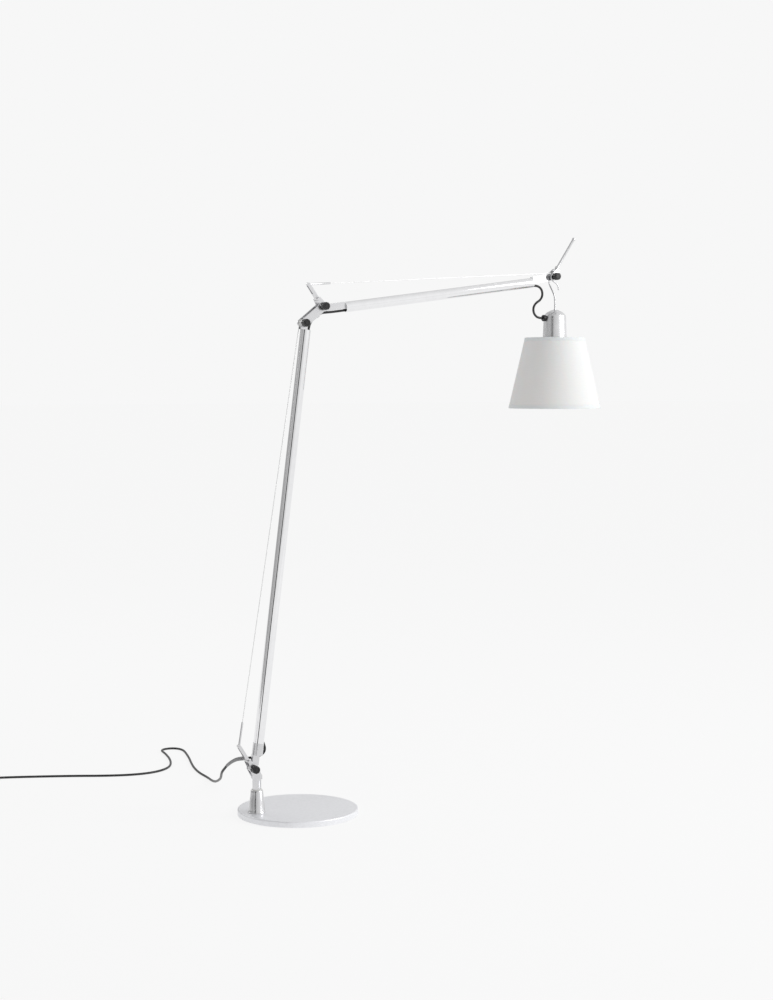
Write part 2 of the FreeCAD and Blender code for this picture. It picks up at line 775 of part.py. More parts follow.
def make_cover_nut():
    """The hexagon nut and washer inside the cover that hold it to the hanger rod."""
    top = pivot_3.z - cover_top_drop - cover_wall_thin
    ring = turned([(hanger_radius, top - 5), (6, top - 5), (6, top), (hanger_radius, top)], shade_x)
    plug = turned(
        [(hanger_radius, top), (2.55, top), (2.55, top + cover_wall_thin + 1.5)]
        + [(hanger_radius, top + cover_wall_thin + 1.5)],
        shade_x,
    )
    return ring.fuse(plug)


def make_gland():
    shell = cover_shoulder_radius + 0.6
    body = Part.makeCylinder(gland_radius, gland_length + 1.6, gland_place, Vec(1, 0, 0))
    rim = [e for e in body.Edges if abs(e.BoundBox.XMax - gland_place.x) < 1e-6]
    body = body.makeChamfer(1.6, rim)
    neck_place = gland_place + Vec(gland_length, 0, 0)
    neck = Part.makeCylinder(gland_radius - 2.0, 6, neck_place, Vec(1, 0, 0))
    cut_back = Part.makeCylinder(shell + 0.3, 60, Vec(shade_x, 0, gland_place.z - 30))
    body = body.cut(cut_back).fuse(neck)
    return body.cut(Part.makeCylinder(cable_radius, 30, gland_place + Vec(1, 0, 0), Vec(1, 0, 0)))


def make_lampholder():
    top = pivot_3.z - cover_top_drop - cover_wall_thin - 12.0
    bottom = pivot_3.z - holder_bottom_drop
    outline = [
        (0, top),
        (holder_radius, top),
        (holder_radius, bottom),
        (bulb_neck_radius + 0.05, bottom),
        (bulb_neck_radius + 0.05, bottom + 24),
        (0, bottom + 24),
    ]
    return turned(outline, shade_x)


def make_shade_carrier():
    """The ring round the lampholder and the flat spokes that carry the shade's top wire."""
    z = pivot_3.z - shade_top_drop
    hub = turned(
        [(holder_radius, z - 2), (cover_radius, z - 2), (cover_radius, z), (holder_radius, z)], shade_x
    )
    reach = shade_top_radius - shade_wall - 0.6
    rim_low, rim_high = carrier_rim_drop, 0.2
    for step in range(3):
        spoke = box(holder_radius + 1, reach, -spoke_width / 2, spoke_width / 2, z - 2, z - 0.4)
        spoke.rotate(Vec(0, 0, 0), Vec(0, 0, 1), 60 + 120 * step)
        spoke.translate(Vec(shade_x, 0, 0))
        hub = hub.fuse(spoke)
    rim = turned(
        [
            (reach - 2.4, z - rim_low),
            (shade_outer(rim_low) - shade_wall, z - rim_low),
            (shade_outer(rim_high) - shade_wall, z - rim_high),
            (reach - 2.4, z - rim_high),
        ],
        shade_x,
    )
    return hub.fuse(rim)


def make_ring_nut():
    top = pivot_3.z - shade_top_drop - 2.0
    return turned(
        [(holder_radius, top), (ring_radius, top), (ring_radius, top - 6), (holder_radius, top - 6)],
        shade_x,
    )


def shade_outer(drop):
    """The shade's outer radius at a distance below its top edge."""
    return shade_top_radius + (shade_bottom_radius - shade_top_radius) * drop / shade_height


def make_shade():
    top = pivot_3.z - shade_top_drop
    bottom = top - shade_height
    outline = [
        (shade_top_radius, top),
        (shade_bottom_radius, bottom),
        (shade_bottom_radius - shade_wall, bottom),
        (shade_top_radius - shade_wall, top),
    ]
    return turned(outline, shade_x)


def make_shade_rims():
    """The folded bands inside the shade's two edges."""
    top = pivot_3.z - shade_top_drop
    bands = []
    for start, end in ((carrier_rim_drop, band_height), (shade_height - band_height, shade_height)):
        outline = [
            (shade_outer(start) - shade_wall, top - start),
            (shade_outer(end) - shade_wall, top - end),
            (shade_outer(end) - shade_wall - 0.8, top - end),
            (shade_outer(start) - shade_wall - 0.8, top - start),
        ]
        bands.append(turned(outline, shade_x))
    return group(bands)


def make_bulb():
    top = pivot_3.z - holder_bottom_drop - 1.0
    centre = top - bulb_length + bulb_radius
    globe = Part.makeSphere(bulb_radius, Vec(shade_x, 0, centre))
    shoulder = math.sqrt(bulb_radius**2 - 17.0**2)
    neck = turned([(0, top), (12.5, top), (17.0, centre + shoulder), (0, centre + shoulder)], shade_x)
    inside = Part.makeSphere(bulb_radius - bulb_wall, Vec(shade_x, 0, centre))
    return globe.fuse(neck).cut(inside)


def make_bulb_cap():
    bottom = pivot_3.z - holder_bottom_drop - 1.0
    return turned(
        [(0, bottom), (bulb_neck_radius, bottom), (bulb_neck_radius, bottom + 22), (5, bottom + 24)]
        + [(0, bottom + 24)],
        shade_x,
    )


# Cords -----------------------------------------------------------------------------------------


def rounded(stations):
    """Straight runs joined by tangent arcs through a list of points, and the arcs' radii."""
    edges, radii, at = [], [], stations[0]
    for before, corner, after in zip(stations, stations[1:], stations[2:]):
        back, ahead = before - corner, after - corner
        shorter = min(back.Length, ahead.Length)
        turn = math.pi - back.getAngle(ahead)
        radius = 0.45 * shorter / math.tan(turn / 2)
        tangent = 0.45 * shorter
        back.normalize()
        ahead.normalize()
        first, last = corner + back * tangent, corner + ahead * tangent
        inward = (back + ahead).normalize()
        middle = corner + inward * (radius / math.cos(turn / 2) - radius)
        edges.append(Part.LineSegment(at, first).toShape())
        edges.append(Part.Arc(first, middle, last).toShape())
        radii.append(radius)
        at = last
    edges.append(Part.LineSegment(at, stations[-1]).toShape())
    return Part.Wire(edges), radii


def make_cord(name, stations, radius):
    route, radii = rounded(stations)
    tube = sweep(route, radius, stations[0], stations[1] - stations[0])
    expected = math.pi * radius**2 * route.Length
    print(
        f"{name}: {route.Length:.1f} mm, arcs in diameters",
        [round(arc / (2 * radius), 1) for arc in radii],
        f"volume {tube.Volume / expected:.4f} of section times length",
    )
    return tube


def placed(points, start=Vec(stem_x, 0, 0)):
    return [start + Vec(*point) for point in points]


# Routes. The mains cord's and the lower cable's are measured from the stem's axis.
floor_line = cord_radius + 0.2
mains_route = placed(
    [
        (-47.8, 31.0, 99.5),
        (-50.6, 48.0, 86.0),
        (-43.5, 71.0, 75.5),
        (-33.0, 99.0, 65.0),
        (-15.0, 149.0, 48.0),
        (3.0, 210.0, 30.0),
        (20.0, 268.0, 15.0),
        (33.0, 320.0, 5.5),
        (41.0, 366.0, floor_line),
        (41.0, 412.0, floor_line),
        (48.0, 462.0, floor_line),
        (60.0, 512.0, floor_line),
        (73.0, 558.0, floor_line),
        (83.0, 600.0, floor_line),
        (89.5, 630.0, floor_line),
        (92.2, 648.0, floor_line),
        (92.0, 662.0, floor_line),
        (87.7, 675.2, floor_line),
        (76.5, 683.4, floor_line),
        (62.5, 683.2, floor_line),
        (51.3, 675.2, floor_line),
        (46.8, 662.0, floor_line),
        (46.0, 647.0, floor_line),
        (42.0, 618.0, floor_line),
        (34.0, 576.0, floor_line),
        (21.0, 532.0, floor_line),
        (5.0, 498.0, floor_line),
        (-21.0, 472.0, floor_line),
        (-55.0, 459.0, floor_line),
        (-96.0, 460.0, floor_line),
        (-146.0, 476.0, floor_line),
        (-202.0, 503.0, floor_line),
        (-262.0, 527.0, floor_line),
        (-322.0, 549.0, floor_line),
        (-374.0, 563.0, floor_line),
        (-423.0, 563.0, floor_line),
    ]
)
lower_route = [
    at_arm(lower_tube_start + cable_window, cable_line, pivot_0, lower_angle),
    at_arm(lower_tube_start + cable_window - 10.2, cable_line, pivot_0, lower_angle),
] + placed(
    [
        (14.7, 0.2, 140.8),
        (17.9, 1.4, 131.6),
        (17.0, 5.4, 122.8),
        (10.4, 10.0, 116.8),
        (0.0, 13.0, 114.6),
        (-9.6, cord_side, cord_exit_height),
        (relief_start + side_gap, cord_side, cord_exit_height),
    ]
)
elbow_route_a = [
    at_arm(lower_length - lower_tube_end_gap - cable_cover, cable_line, pivot_0, lower_angle),
    at_arm(lower_length - lower_tube_end_gap + 8.5, cable_line, pivot_0, lower_angle),
    pivot_1 + Vec(17.56, 0, 4.21),
    along(elbow_clip_place, link_angle, -clip_run),
    elbow_clip_place,
]
elbow_route_b = [
    elbow_clip_place,
    along(elbow_clip_place, link_angle, clip_run),
    pivot_2 + Vec(6.08, 0, -11.56),
    pivot_2 + Vec(20.08, 0, -10.36),
    at_arm(upper_tube_start + cable_cover - 14, cable_line, pivot_2, upper_angle),
    at_arm(upper_tube_start + cable_cover, cable_line, pivot_2, upper_angle),
]
head_route = [
    at_arm(upper_length - upper_tube_end_gap - cable_cover, cable_line, pivot_2, upper_angle),
    at_arm(upper_length - upper_tube_end_gap - cable_cover + 9.4, cable_line, pivot_2, upper_angle),
    pivot_3 + Vec(-27.83, 0, -21.94),
    pivot_3 + Vec(-22.73, 0, -29.94),
    pivot_3 + Vec(-22.73, 0, -39.74),
    pivot_3 + Vec(-28.23, 0, -47.94),
    pivot_3 + Vec(-37.13, 0, -52.84),
    pivot_3 + Vec(-43.03, 0, -60.54),
    pivot_3 + Vec(-43.73, 0, -70.14),
    pivot_3 + Vec(-39.33, 0, -78.34),
    gland_place + Vec(-8.93, 0, 0),
    gland_place,
]


def make_cord_relief():
    """The tapered sleeve that the mains cord leaves through, bent as the cord pulls it."""
    stations = placed(
        [
            (relief_start, cord_side, cord_exit_height),
            (-30.0, 14.8, 113.9),
            (-37.5, 16.9, 111.8),
            (-43.8, 22.6, 106.8),
        ]
    ) + mains_route[:1]
    steps = len(stations) - 1
    rings = []
    for index, place in enumerate(stations):
        ahead = stations[min(index + 1, steps)] - stations[max(index - 1, 0)]
        if index == 0:
            ahead = Vec(-1, 0, 0)
        if index == steps:
            ahead = mains_route[1] - mains_route[0]
        radius = boss_radius + (relief_end_radius - boss_radius) * index / steps
        rings.append(Part.Wire([Part.Circle(place, ahead, radius).toShape()]))
    return Part.makeLoft(rings, True)


coil_centre = mains_route[-1] + Vec(-3.0, coil_inner + cord_radius + 3.2, 0)


def make_mains_coil():
    """The spare cord as one ring, with a notch where the cord comes into it."""
    foot = Vec(coil_centre.x, coil_centre.y, floor_line - cord_radius)
    ring = rod(coil_outer, foot, foot + Vec(0, 0, coil_height - foot.z))
    ring = ring.cut(rod(coil_inner, foot, foot + Vec(0, 0, coil_height)))
    end, side = mains_route[-1], cord_radius + 0.8
    notch = box(end.x, end.x + 2 * coil_outer, end.y - side, end.y + side, 0, floor_line + side)
    return ring.cut(notch)


def make_mains_plug():
    """A moulded two-pin plug that lies along the top of the coil, its cord end towards -X."""
    low = coil_height
    rear = coil_centre.x - plug_setback
    front = rear + mains_plug_length
    y = coil_centre.y + (coil_outer + coil_inner) / 2
    half = mains_plug_width / 2
    waist = cord_radius + 2.2
    outline = [
        Vec(rear, y - waist, low),
        Vec(front - 14, y - half, low),
        Vec(front, y - half, low),
        Vec(front, y + half, low),
        Vec(front - 14, y + half, low),
        Vec(rear, y + waist, low),
    ]
    body = Part.Face(Part.makePolygon(outline + outline[:1])).extrude(Vec(0, 0, mains_plug_height))
    edges = [e for e in body.Edges if abs(e.BoundBox.ZMin - low - mains_plug_height) < 1e-6]
    body = body.makeFillet(1.5, edges)
    pins = []
    for side in (-1, 1):
        place = Vec(front, y + side * mains_pin_spacing / 2, low + mains_plug_height / 2)
        pins.append(Part.makeCylinder(mains_pin_radius, mains_pin_length, place, Vec(1, 0, 0)))
    return group([body] + pins)


write("base_cover", make_base_cover())
write("base_weight", make_base_weight())
write("base_pad", make_base_pad())
write("cone_screws", make_cone_screws())
write("base_cone", make_base_cone())
write("stem_bush", make_stem_bush())
write("stem", make_stem())
write("stem_clip", make_stem_clip())
write("lower_axle", make_axle(pivot_0, prong_out))
write("lower_washers", make_washers([pivot_0]))
lower_prong = make_prong(pivot_0, lower_prong_reach, lower_angle).fuse(make_cord_boss())
write("lower_prong", group([lower_prong, make_prong_pin(pivot_0, lower_prong_reach, lower_angle)]))
write("lower_knob", make_knob(pivot_0, prong_out))

lower_tube_end = lower_length - lower_tube_end_gap
upper_tube_end = upper_length - upper_tube_end_gap
arms = [
    ("lower", lower_length, lower_tube_start, lower_tube_end, lower_spring_length, pivot_0, lower_angle),
    ("upper", upper_length, upper_tube_start, upper_tube_end, upper_spring_length, pivot_2, upper_angle),
]
for name, length, tube_start, tube_end, spring_length, pivot, angle in arms:
    reach = lower_prong_reach if name == "lower" else upper_prong_reach
    cable_in = cable_window if name == "lower" else cable_cover
    pieces = {
        "tongue": make_tongue(tube_start, name == "lower"),
        "tube": make_tube(tube_start, tube_end, name == "lower"),
        "fork": make_fork(length, tube_end),
        "pulley": make_pulley(length),
        "spring": group(
            [make_spring(tube_start, spring_length), make_return_wire(length, tube_start, spring_length)]
        ),
        "wire_barrel": make_barrel(reach, length),
        "wire": make_wire(reach, length),
        "arm_cable": make_arm_cable(tube_start + cable_in, tube_end - cable_cover),
    }
    for piece, shape in pieces.items():
        write(f"{name}_{piece}", place_arm(shape, pivot, angle))

write("elbow_link", make_link())
write("elbow_axles", group([make_axle(pivot_1, ear_out), make_axle(pivot_2, prong_out)]))
write("elbow_washers", make_washers([pivot_1, pivot_2]))
upper_prong = make_prong(pivot_2, upper_prong_reach, upper_angle)
write("upper_prong", group([upper_prong, make_prong_pin(pivot_2, upper_prong_reach, upper_angle)]))
for name, pivot, outer in (
    ("elbow_knob_a", pivot_1, ear_out),
    ("elbow_knob_b", pivot_2, prong_out),
    ("head_knob", pivot_3, ear_out + 3.0),
):
    write(name, make_knob(pivot, outer))

write("head_axle", make_axle(pivot_3, ear_out + 3.0))
write("head_washers", make_washers([pivot_3]))
write("head_hub", make_head_hub())
write("handle_collar", make_handle_collar())
write("handle_rod", make_handle_rod())
write("hanger", make_hanger())
write("head_hook", make_hook())
write("socket_cover", make_socket_cover())
write("cover_nut", make_cover_nut())
write("cable_gland", make_gland())
write("lampholder", make_lampholder())
write("shade_carrier", make_shade_carrier())
write("ring_nut", make_ring_nut())
write("shade", make_shade())
write("shade_rims", make_shade_rims())
write("bulb", make_bulb())
write("bulb_cap", make_bulb_cap())
print("pivots", [tuple(round(v, 2) for v in p) for p in (pivot_0, pivot_1, pivot_2, pivot_3)])

write("mains_cord", make_cord("mains_cord", mains_route, cord_radius))
write("lower_loop_cable", make_cord("lower_loop_cable", lower_route, cable_radius))
write("elbow_cable_a", make_cord("elbow_cable_a", elbow_route_a, cable_radius))
write("elbow_cable_b", make_cord("elbow_cable_b", elbow_route_b, cable_radius))
write("head_cable", make_cord("head_cable", head_route, cable_radius))
write("cord_relief", make_cord_relief())
write("mains_coil", make_mains_coil())
write("mains_plug", make_mains_plug())
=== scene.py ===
import json
import math

import bmesh
import bpy
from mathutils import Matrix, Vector


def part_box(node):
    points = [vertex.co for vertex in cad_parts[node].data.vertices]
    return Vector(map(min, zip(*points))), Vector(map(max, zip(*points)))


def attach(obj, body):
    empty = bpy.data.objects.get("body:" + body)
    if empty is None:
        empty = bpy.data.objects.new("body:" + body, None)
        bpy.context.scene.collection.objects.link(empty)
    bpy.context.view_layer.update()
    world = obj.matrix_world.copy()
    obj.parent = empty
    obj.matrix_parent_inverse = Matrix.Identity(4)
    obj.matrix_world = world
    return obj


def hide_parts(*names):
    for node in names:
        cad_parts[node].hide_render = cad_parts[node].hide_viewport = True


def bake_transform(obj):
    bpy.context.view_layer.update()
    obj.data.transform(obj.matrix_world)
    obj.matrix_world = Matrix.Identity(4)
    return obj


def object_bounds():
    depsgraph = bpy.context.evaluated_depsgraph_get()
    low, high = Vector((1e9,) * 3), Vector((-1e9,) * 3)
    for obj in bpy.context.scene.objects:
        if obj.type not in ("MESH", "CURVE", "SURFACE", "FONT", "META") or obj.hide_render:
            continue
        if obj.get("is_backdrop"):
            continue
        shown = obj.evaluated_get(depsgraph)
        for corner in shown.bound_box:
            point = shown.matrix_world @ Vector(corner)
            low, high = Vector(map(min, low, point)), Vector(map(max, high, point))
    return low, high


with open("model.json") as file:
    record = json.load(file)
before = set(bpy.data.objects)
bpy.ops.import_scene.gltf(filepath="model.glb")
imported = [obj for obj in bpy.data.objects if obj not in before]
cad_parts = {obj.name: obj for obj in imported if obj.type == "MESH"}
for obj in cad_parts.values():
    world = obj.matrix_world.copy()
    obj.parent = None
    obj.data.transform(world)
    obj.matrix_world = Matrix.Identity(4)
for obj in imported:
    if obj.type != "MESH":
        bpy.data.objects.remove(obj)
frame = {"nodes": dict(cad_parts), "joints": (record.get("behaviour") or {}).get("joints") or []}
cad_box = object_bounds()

# The room: a plain pale floor that runs out to a pale surround, a large soft light to the lamp's
# right, a weaker one behind it, and a tall dark screen that the polished pieces reflect as a thin line.
scene = bpy.context.scene
scene.view_settings.view_transform = "Standard"
pale = 0.93

surround = bpy.data.worlds.new("surround")
surround.use_nodes = True
sky, sky_links = surround.node_tree.nodes, surround.node_tree.links
sky["Background"].inputs["Color"].default_value = (1, 1, 1, 1)
outward = sky.new("ShaderNodeTexCoord")
rightness = sky.new("ShaderNodeVectorMath")
rightness.operation = "DOT_PRODUCT"
rightness.inputs[1].default_value = (0.894, -0.448, 0.0)
glow = sky.new("ShaderNodeMapRange")
glow.inputs["From Min"].default_value = -1.0
glow.inputs["From Max"].default_value = 1.0
glow.inputs["To Min"].default_value = 0.40
glow.inputs["To Max"].default_value = 1.05
seen = sky.new("ShaderNodeLightPath")
level = sky.new("ShaderNodeMix")
level.data_type = "FLOAT"
level.inputs["B"].default_value = pale
sky_links.new(outward.outputs["Generated"], rightness.inputs[0])
sky_links.new(rightness.outputs["Value"], glow.inputs["Value"])
sky_links.new(seen.outputs["Is Camera Ray"], level.inputs["Factor"])
sky_links.new(glow.outputs["Result"], level.inputs["A"])
sky_links.new(level.outputs["Result"], sky["Background"].inputs["Strength"])
scene.world = surround


def flat_board(name, corners, stands_in_view=True):
    board = bpy.data.meshes.new(name)
    board.from_pydata(corners, [], [tuple(range(len(corners)))])
    piece = bpy.data.objects.new(name, board)
    scene.collection.objects.link(piece)
    piece.visible_camera = stands_in_view
    piece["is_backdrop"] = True
    return piece


floor = flat_board("floor", [(-60, -60, 0), (60, -60, 0), (60, 60, 0), (-60, 60, 0)])
floor_paint = bpy.data.materials.new("floor paint")
floor_paint.use_nodes = True
paint = floor_paint.node_tree.nodes["Principled BSDF"]
paint.inputs["Base Color"].default_value = (0.10, 0.10, 0.10, 1)
paint.inputs["Roughness"].default_value = 0.9
paint.inputs["Specular IOR Level"].default_value = 0.0
paint.inputs["Emission Color"].default_value = (1, 1, 1, 1)
paint.inputs["Emission Strength"].default_value = 0.852
floor.data.materials.append(floor_paint)

screen_cloth = bpy.data.materials.new("screen cloth")
screen_cloth.use_nodes = True
screen_paint = screen_cloth.node_tree.nodes["Principled BSDF"]
screen_paint.inputs["Base Color"].default_value = (0.01, 0.01, 0.01, 1)
screen = flat_board(
    "dark_screen",
    [(-1.74, -1.12, 0.02), (-1.34, -1.66, 0.02), (-1.34, -1.66, 2.6), (-1.74, -1.12, 2.6)],
    stands_in_view=False,
)
screen.data.materials.append(screen_cloth)

for name, place, aim, size, watts in (
    ("light_right", (2.6, -2.0, 1.9), (0.3, 0, 0.7), 1.8, 46),
    ("light_back", (-1.2, 2.8, 2.2), (0.2, 0, 0.6), 1.6, 10),
):
    lamp = bpy.data.lights.new(name, "AREA")
    lamp.size = size
    lamp.energy = watts
    lamp_place = bpy.data.objects.new(name, lamp)
    lamp_place.location = place
    lamp_place.rotation_euler = (Vector(aim) - Vector(place)).to_track_quat("-Z", "Y").to_euler()
    scene.collection.objects.link(lamp_place)

view = bpy.data.cameras.new("camera")
view.sensor_width = 36
view.lens = 65.6
camera = bpy.data.objects.new("camera", view)
camera.location = (-1.3865, -3.1453, 0.8239)
turned_right, look_down = 0.4644, 0.0651
heading = Vector(
    (
        math.sin(turned_right) * math.cos(look_down),
        math.cos(turned_right) * math.cos(look_down),
        -math.sin(look_down),
    )
)
camera.rotation_euler = heading.to_track_quat("-Z", "Y").to_euler()
scene.collection.objects.link(camera)
scene.camera = camera

# Mains cord: a round black two-core lead in a smooth sheath. It leaves the joint above the foot,
# drops to the floor behind the lamp, turns back on itself and runs on to a small coil and a plug.
mm = 0.001


def grained(name, colour, roughness, metallic, grain, bump, vary=0.05, stretch=(1, 1, 1), turn=0.0):
    """A finish with fine uneven colour, gloss and relief, run along the piece by stretch and turn."""
    material = bpy.data.materials.new(name)
    material.use_nodes = True
    nodes, links = material.node_tree.nodes, material.node_tree.links
    shader = nodes["Principled BSDF"]
    shader.inputs["Metallic"].default_value = metallic
    place = nodes.new("ShaderNodeTexCoord")
    lie = nodes.new("ShaderNodeMapping")
    lie.vector_type = "TEXTURE"
    lie.inputs["Rotation"].default_value = (0, turn, 0)
    lie.inputs["Scale"].default_value = stretch
    links.new(place.outputs["Object"], lie.inputs["Vector"])
    fine = nodes.new("ShaderNodeTexNoise")
    fine.inputs["Scale"].default_value = grain
    fine.inputs["Detail"].default_value = 4
    broad = nodes.new("ShaderNodeTexNoise")
    broad.inputs["Scale"].default_value = grain / 14
    broad.inputs["Detail"].default_value = 3
    links.new(lie.outputs["Vector"], fine.inputs["Vector"])
    links.new(place.outputs["Object"], broad.inputs["Vector"])
    tint = nodes.new("ShaderNodeValToRGB")
    low, high = tint.color_ramp.elements
    low.position, high.position = 0.3, 0.72
    low.color = (*[c * (1 - vary) for c in colour], 1)
    high.color = (*[min(1, c * (1 + vary)) for c in colour], 1)
    links.new(broad.outputs["Fac"], tint.inputs["Fac"])
    links.new(tint.outputs["Color"], shader.inputs["Base Color"])
    gloss = nodes.new("ShaderNodeMapRange")
    gloss.inputs["To Min"].default_value = roughness * 0.8
    gloss.inputs["To Max"].default_value = min(1, roughness * 1.25)
    links.new(fine.outputs["Fac"], gloss.inputs["Value"])
    links.new(gloss.outputs["Result"], shader.inputs["Roughness"])
    relief = nodes.new("ShaderNodeBump")
    relief.inputs["Strength"].default_value = bump
    relief.inputs["Distance"].default_value = 0.0002
    links.new(fine.outputs["Fac"], relief.inputs["Height"])
    links.new(relief.outputs["Normal"], shader.inputs["Normal"])
    return material


def as_mesh(thing):
    """The shape of a curve or of a piece with modifiers, as a plain mesh."""
    scene.view_layers[0].update()
    made = thing.evaluated_get(bpy.context.evaluated_depsgraph_get())
    return bpy.data.meshes.new_from_object(made)


def lay_cord(name, route, diameter, sheath):
    """A round cord on one smooth curve, as a tube, with the points that its middle runs through."""
    curve = bpy.data.curves.new(name, "CURVE")
    curve.dimensions = "3D"
    curve.resolution_u = 8
    line = curve.splines.new("NURBS")
    line.points.add(len(route) - 1)
    for point, place in zip(line.points, route):
        point.co = (place[0] * mm, place[1] * mm, place[2] * mm, 1)
    line.order_u = 3
    line.use_endpoint_u = True
    draft = bpy.data.objects.new(name + "_line", curve)
    scene.collection.objects.link(draft)
    middle = [tuple(v.co) for v in as_mesh(draft).vertices]
    curve.bevel_depth = diameter / 2
    curve.bevel_resolution = 5
    curve.use_fill_caps = True
    tube = as_mesh(draft)
    bpy.data.objects.remove(draft)
    tube.materials.clear()
    tube.materials.append(sheath)
    tube.shade_smooth()
    cord = bpy.data.objects.new(name, tube)
    scene.collection.objects.link(cord)
    return cord, middle


black_sheath = grained("black sheath", (0.007, 0.007, 0.008), 0.38, 0.0, 1500, 0.25, 0.3)
grey_sleeve = grained("grey sleeve", (0.27, 0.27, 0.275), 0.42, 0.0, 1200, 0.2, 0.08)
cord_diameter = 4.8 * mm
stem_line = -84.5
mains_route = [
    (stem_line + x, y, z)
    for x, y, z in [
        (-47.8, 31.0, 99.5),
        (-50.6, 48.0, 86.0),
        (-43.5, 71.0, 75.5),
        (-33.0, 99.0, 65.0),
        (-15.0, 149.0, 48.0),
        (3.0, 210.0, 30.0),
        (20.0, 268.0, 15.0),
        (33.0, 320.0, 5.5),
        (41.0, 366.0, 2.6),
        (41.0, 412.0, 2.6),
        (48.0, 462.0, 2.6),
        (60.0, 512.0, 2.6),
        (73.0, 558.0, 2.6),
        (83.0, 600.0, 2.6),
        (89.5, 630.0, 2.6),
        (92.2, 648.0, 2.6),
        (92.0, 662.0, 2.6),
        (87.7, 675.2, 2.6),
        (76.5, 683.4, 2.6),
        (62.5, 683.2, 2.6),
        (51.3, 675.2, 2.6),
        (46.8, 662.0, 2.6),
        (46.0, 647.0, 2.6),
        (42.0, 618.0, 2.6),
        (34.0, 576.0, 2.6),
        (21.0, 532.0, 2.6),
        (5.0, 498.0, 2.6),
        (-21.0, 472.0, 2.6),
        (-55.0, 459.0, 2.6),
        (-96.0, 460.0, 2.6),
        (-146.0, 476.0, 2.6),
        (-202.0, 503.0, 2.6),
        (-262.0, 527.0, 2.6),
        (-322.0, 549.0, 2.6),
        (-374.0, 563.0, 2.6),
        (-423.0, 563.0, 2.6),
    ]
]
coil_middle = Vector((-510.5, 589.6))
per_turn, drawn_in = 14, 0.978
wound = []
for step in range(2, 45):
    part = step / per_turn
    angle = math.radians(-84) - 2 * math.pi * part
    if part < 1.15:
        radius, height = 26.8 - 5.2 * part, 2.6
    else:
        radius, height = 20.8 + 4.85 * (part - 1.15), 2.6 + 4.95 * min(1, (part - 1.15) / 0.25)
    radius = min(radius, 30.4) / drawn_in
    wound.append(
        (coil_middle.x + radius * math.cos(angle), coil_middle.y + radius * math.sin(angle), height)
    )
to_plug = [
    (coil_middle.x - 29.5, coil_middle.y + 4.0, 9.6),
    (coil_middle.x - 27.6, coil_middle.y + 14.6, 12.6),
    (coil_middle.x - 20.8, coil_middle.y + 22.8, 15.4),
    (coil_middle.x - 12.6, coil_middle.y + 26.6, 16.8),
    (coil_middle.x - 5.0, coil_middle.y + 27.0, 16.8),
]
mains_cord, mains_line = lay_cord(
    "mains_cord_lead", mains_route + wound + to_plug, cord_diameter, black_sheath
)
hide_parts("mains_cord", "mains_coil")
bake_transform(mains_cord)

# Plug: a moulded two-pin plug on the cord, in black like its sheath, with bright pins.
plug_rear, plug_front = coil_middle.x - 8.0, coil_middle.x + 28.0
plug_line, plug_low, plug_high = coil_middle.y + 27.0, 10.0, 23.6
moulding = bmesh.new()
rings = []
for x, half, drop in (
    (plug_rear + 0.2, 3.2, 3.6),
    (plug_rear + 3, 4.6, 2.2),
    (plug_rear + 10, 7.5, 0.8),
    (plug_front - 14, 12.6, 0.2),
    (plug_front - 3, 12.9, 0.0),
    (plug_front - 0.8, 12.7, 0.4),
    (plug_front, 11.6, 1.6),
):
    middle, tall = (plug_low + plug_high) / 2, (plug_high - plug_low) / 2 - drop
    ring = []
    for step in range(24):
        angle = 2 * math.pi * step / 24
        c, s = math.cos(angle), math.sin(angle)
        y = plug_line + half * math.copysign(abs(c) ** 0.45, c)
        z = middle + tall * math.copysign(abs(s) ** 0.45, s)
        ring.append(moulding.verts.new((x * mm, y * mm, z * mm)))
    rings.append(ring)
for back, front in zip(rings, rings[1:]):
    for step in range(24):
        after = (step + 1) % 24
        moulding.faces.new((back[step], back[after], front[after], front[step]))
moulding.faces.new(rings[0][::-1])
moulding.faces.new(rings[-1])
bmesh.ops.recalc_face_normals(moulding, faces=moulding.faces)
plug_mesh = bpy.data.meshes.new("mains_plug_moulding")
moulding.to_mesh(plug_mesh)
plug_mesh.shade_smooth()
plug_black = grained("black plug moulding", (0.015, 0.015, 0.016), 0.5, 0.0, 900, 0.5, 0.25)
plug_mesh.materials.append(plug_black)
plug = bpy.data.objects.new("mains_plug_moulding", plug_mesh)
scene.collection.objects.link(plug)
plug_steel = grained("plug pin nickel", (0.68, 0.67, 0.64), 0.2, 1.0, 700, 0.1)
pins_mesh = bpy.data.meshes.new("mains_plug_pins")
pins = bmesh.new()
for side in (-1, 1):
    outline = [(0, 0), (2.0, 0), (2.0, 17.6), (1.5, 18.7), (0, 19.0)]
    rows = []
    for radius, reach in outline:
        count = 1 if radius == 0 else 20
        rows.append(
            [
                pins.verts.new(
                    (
                        (plug_front + reach) * mm,
                        (plug_line + side * 9.5 + radius * math.cos(2 * math.pi * k / 20)) * mm,
                        ((plug_low + plug_high) / 2 + radius * math.sin(2 * math.pi * k / 20)) * mm,
                    )
                )
                for k in range(count)
            ]
        )
    for near, far in zip(rows, rows[1:]):
        for k in range(20):
            after = (k + 1) % 20
            corners = [
                near[k % len(near)],
                near[after % len(near)],
                far[after % len(far)],
                far[k % len(far)],
            ]
            pins.faces.new(list(dict.fromkeys(corners)))
bmesh.ops.recalc_face_normals(pins, faces=pins.faces)
pins.to_mesh(pins_mesh)
pins_mesh.shade_smooth()
pins_mesh.materials.append(plug_steel)
plug_pins = bpy.data.objects.new("mains_plug_pins", pins_mesh)
scene.collection.objects.link(plug_pins)
for piece in (plug, plug_pins):
    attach(piece, "base")
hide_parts("mains_plug")
